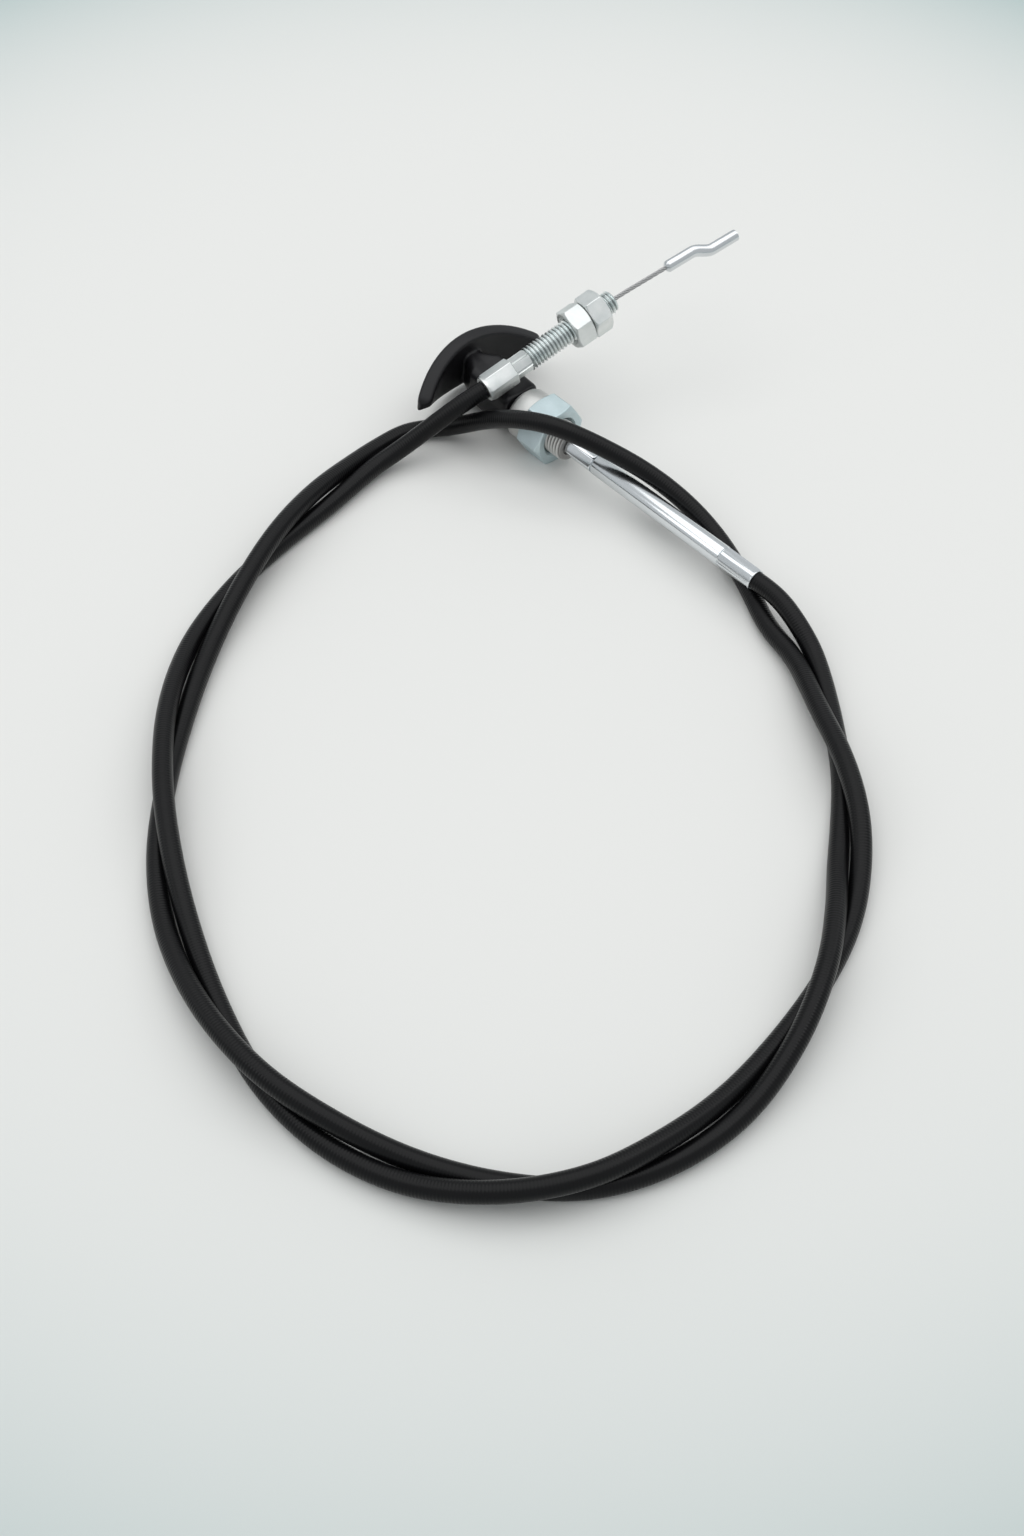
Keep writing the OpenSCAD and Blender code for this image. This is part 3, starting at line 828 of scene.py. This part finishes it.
class BushingOperator(bpy.types.Operator):
    """Makes the panel bushing, its nut and the guide tube"""

    bl_idname = "control_cable.bushing"
    bl_label = "Bushing and Guide Tube"

    def execute(self, context):
        s = settings("bushing")
        r, long = s.collar_diameter / 2, s.collar_length
        collar = turned([
            (-long, 0), (-long, r - 2.2 * MM), (-long + 0.25 * MM, r - 1.6 * MM),
            (-long + 1.4 * MM, r - 0.35 * MM), (-long + 2.2 * MM, r), (-0.5 * MM, r),
            (-0.15 * MM, r - 0.1 * MM), (0, r - 0.5 * MM), (0, 0)])
        zinc = plated("bushing zinc", s.zinc, 0.5, 0.5)
        piece("bushing_collar", collar, "cable", ["panel_bushing"], zinc,
              at=along_pull())
        thread = threaded(s.thread_diameter / 2, 0.75 * MM, s.thread_pitch, -0.5 * MM,
                          s.thread_length, s.tube_diameter / 2 - 0.1 * MM, 0.5 * MM)
        # root=0.45 paints shade into the roots of the panel thread
        piece("bushing_thread", thread, "cable", [],
              plated("bushing thread zinc", s.zinc, 0.5, 0.5, root=0.45), 34.0, along_pull())
        piece("panel_nut_detail",
              nut(s.nut_flats, s.nut_thickness, s.thread_diameter / 2 + 0.15 * MM, 0.0),
              "panel_nut_body", ["panel_nut"],
              plated("nut zinc", s.nut_zinc, 0.44, 0.5), 26.0, along_pull())
        self.tube(s)
        return {"FINISHED"}

    def tube(self, s):
        r, start = s.tube_diameter / 2, s.thread_length
        whole = TUBE_MOUTH - start
        neck, mouth = s.neck_length, whole - s.mouth_length
        groove = 0.45 * MM
        profile = [
            (0, 0, 0), (0, r * 0.9, 0), (0.3 * MM, r * 0.94, 0.5), (0.9 * MM, r * 0.92, 0.9),
            (neck - 1.0 * MM, r * 0.92, 0.9), (neck - groove - 0.1 * MM, r * 0.97, 0.2),
            (neck - groove, r * 0.97, 0), (neck - groove, r * 0.84, 0), (neck, r * 0.84, 0),
            (neck, r * 0.97, 0), (neck + 0.2 * MM, r, 0), (mouth - 0.3 * MM, r, 0),
            (mouth - 0.1 * MM, r * 0.93, 0), (mouth + 0.1 * MM, r * 0.93, 0.2),
            (mouth + 0.3 * MM, r * 0.94, 0.8), (whole - 0.8 * MM, r * 0.94, 0.8),
            (whole - 0.4 * MM, r * 0.985, 0.2), (whole - 0.1 * MM, r * 0.985, 0),
            (whole, r * 0.96, 0), (whole, r * 0.88, 0), (whole - 0.6 * MM, r * 0.875, 0),
            (whole - 0.6 * MM, 0, 0)]
        piece("guide_tube_detail", crimped(profile, 0.0), "cable", ["guide_tube"],
              drawn("chrome", s.chrome, 0.17), 30.0, along_pull(start))


class EndOperator(bpy.types.Operator):
    """Makes the ferrule, the threaded sleeve and its two lock nuts"""

    bl_idname = "control_cable.end"
    bl_label = "Threaded End"

    def execute(self, context):
        s = settings("end")
        a, b = s.ferrule_flats / 2, s.stage_flats / 2
        l1, l2 = s.ferrule_length, s.ferrule_length + s.stage_length
        zinc = plated("ferrule zinc", s.zinc, 0.3, 0.5)
        large = crimped([
            (0.8 * MM, 0, 0), (0.8 * MM, 3.04 * MM, 0), (0.15 * MM, 3.06 * MM, 0),
            (0, 3.3 * MM, 0), (0, a * 0.98, 0), (0.15 * MM, a * 1.05, 0),
            (0.5 * MM, a * 1.06, 0), (0.9 * MM, a * 1.03, 0.5), (1.3 * MM, a, 1),
            (l1 - 0.35 * MM, a, 1), (l1, a * 0.93, 1), (l1, 0, 0)], radians(38))
        piece("ferrule_crimp", large, "cable", ["end_ferrule"], zinc, 20.0,
              at_end())
        small = crimped([
            (l1 - 1 * MM, 0, 0), (l1 - 1 * MM, b, 1), (l2 - 0.5 * MM, b, 1),
            (l2 - 0.15 * MM, b, 0.4), (l2, b * 0.96, 0), (l2, 0, 0)], radians(44),
            radians(8), 0.7 * MM)
        piece("ferrule_stage", small, "cable", [], zinc, 20.0, at_end())
        end = l2 + s.sleeve_length
        thread = threaded(s.sleeve_diameter / 2, 0.82 * MM, s.sleeve_pitch, l2 - 0.1 * MM, end,
                          s.sleeve_mouth / 2, SLEEVE_BORE)
        # root=0.42 paints shade into the roots of the sleeve's thread
        piece("sleeve_thread", thread, "cable", ["threaded_sleeve"],
              plated("thread zinc", s.thread_zinc, 0.26, 0.2, root=0.42), 34.0, at_end())
        outer = end - s.free_thread - s.nut_thickness
        inner = outer - s.nut_gap - s.nut_thickness
        finish = plated("lock nut zinc", s.zinc, 0.46, 0.8)
        for side, place, turn in (("inner", inner, 22), ("outer", outer, 44)):
            made = nut(s.nut_flats, s.nut_thickness, s.sleeve_diameter / 2 + 0.15 * MM,
                       radians(turn))
            piece(f"lock_nut_{side}_detail", made, f"{side}_nut_body", [f"lock_nut_{side}"],
                  finish, 26.0, at_end(place))
        return {"FINISHED"}


class WireOperator(bpy.types.Operator):
    """Lays the stranded wire and makes the swaged fitting on its end"""

    bl_idname = "control_cable.wire"
    bl_label = "Wire and Fitting"

    def execute(self, context):
        s, e = settings("wire"), settings("end")
        mouth = e.ferrule_length + e.stage_length + e.sleeve_length
        start, fitting = mouth - WIRE_IN_SLEEVE, mouth + s.free_wire
        finish = drawn("strand steel", s.steel, 0.3, (300.0, 300.0, 300.0), 0.2)
        strand, steps = s.diameter / 3, 110
        run = fitting + s.root_length - 2.4 * MM - start

        def drop(z):
            out = max(0.0, z - mouth)
            bend = 6 * MM
            return tan(s.sag) * (out * out / (2 * bend) if out < bend else out - bend / 2)

        def helix(off, turned_by):
            made = []
            for k in range(steps + 1):
                z = start + run * k / steps
                a = turned_by + 2 * pi * z / s.lay
                made.append((drop(z) + off * cos(a), off * sin(a), z))
            return made

        piece("wire_core", swept(helix(0, 0), strand / 2, 10), "output_end",
              ["output_wire_core"], finish, 60.0, at_end())
        strands = bmesh.new()
        for k in range(6):
            one = swept(helix(strand, pi / 3 * k), strand / 2 * 0.97, 10)
            mesh = bpy.data.meshes.new("strand")
            one.to_mesh(mesh)
            one.free()
            strands.from_mesh(mesh)
            bpy.data.meshes.remove(mesh)
        piece("wire_strands", strands, "output_end", ["output_wire_strands"], finish,
              60.0, at_end())
        self.fitting(s, at_end(fitting) @ Matrix.Translation((drop(fitting), 0, 0))
                     @ Matrix.Rotation(s.sag, 4, "Y") @ Matrix.Rotation(radians(-45), 4, "Z"))
        return {"FINISHED"}

    def fitting(self, s, at):
        r, root, end = s.fitting_diameter / 2, s.root_length, s.root_length + s.joggle_length
        whole = end + s.tip_length
        rows = [(0, 0.001), (0, 0.42), (0.15, 0.55), (0.8, 0.93), (1.1, 1.0)]
        rows = [(z * MM, f * r) for z, f in rows]
        rows += [(root * 0.5, r), (root - 1.5 * MM, r)]
        rows += [(root - 1.5 * MM + (s.joggle_length + 3 * MM) * k / 14, r) for k in range(1, 15)]
        rows += [(whole - 0.5 * MM, r), (whole - 0.15 * MM, r * 0.96), (whole, r * 0.86),
                 (whole, r * 0.001)]

        def side(z):
            f = min(1.0, max(0.0, (z - root + 0.6 * MM) / (s.joggle_length + 1.2 * MM)))
            return s.step * f * f * (3 - 2 * f)

        steps = 48

        def place(row, turn):
            z, radius = rows[row]
            a = 2 * pi * turn / steps
            slope = (side(z + 0.05 * MM) - side(z - 0.05 * MM)) / (0.1 * MM)
            tilt = atan2(slope, 1)
            bent = sin(pi * min(1.0, max(0.0, (z - root + 2 * MM) / (s.joggle_length + 4 * MM))))
            flat = 1 - 0.1 * bent
            u = radius * cos(a)
            return (side(z) + u * cos(tilt), radius * sin(a) * flat, z - u * sin(tilt))

        piece("fitting_detail", rolled(len(rows), steps, place), "output_end", ["end_fitting"],
              drawn("fitting zinc", s.bright, 0.2, (200.0, 200.0, 200.0), 0.15),
              40.0, at)


class CablePanel(bpy.types.Panel):
    """Lists the pieces of the control cable and their sizes"""

    bl_idname = "VIEW3D_PT_control_cable"
    bl_label = "Control Cable"
    bl_space_type = "VIEW_3D"
    bl_region_type = "UI"
    bl_category = "Control Cable"

    def draw(self, context):
        for operator, group in STEPS:
            box = self.layout.box()
            box.operator(operator.bl_idname)
            values = getattr(context.scene.control_cable, group)
            for name in SETTINGS[group].__annotations__:
                box.prop(values, name)


STEPS = [
    (StageOperator, "stage"), (ConduitOperator, "conduit"), (HandleOperator, "handle"),
    (BushingOperator, "bushing"), (EndOperator, "end"), (WireOperator, "wire"),
]
CLASSES = [*SETTINGS.values(), CableSettings, *[step for step, _ in STEPS], CablePanel]


def register():
    for made in CLASSES:
        bpy.utils.register_class(made)
    bpy.types.Scene.control_cable = PointerProperty(type=CableSettings)


def unregister():
    del bpy.types.Scene.control_cable
    for made in reversed(CLASSES):
        bpy.utils.unregister_class(made)


def main():
    register()
    for operator, _ in STEPS:
        group, name = operator.bl_idname.split(".")
        getattr(getattr(bpy.ops, group), name)()
    path, length = laid_path()
    tuple(path[0])
    [tuple(p) for p in path]


if __name__ == "__main__":
    main()
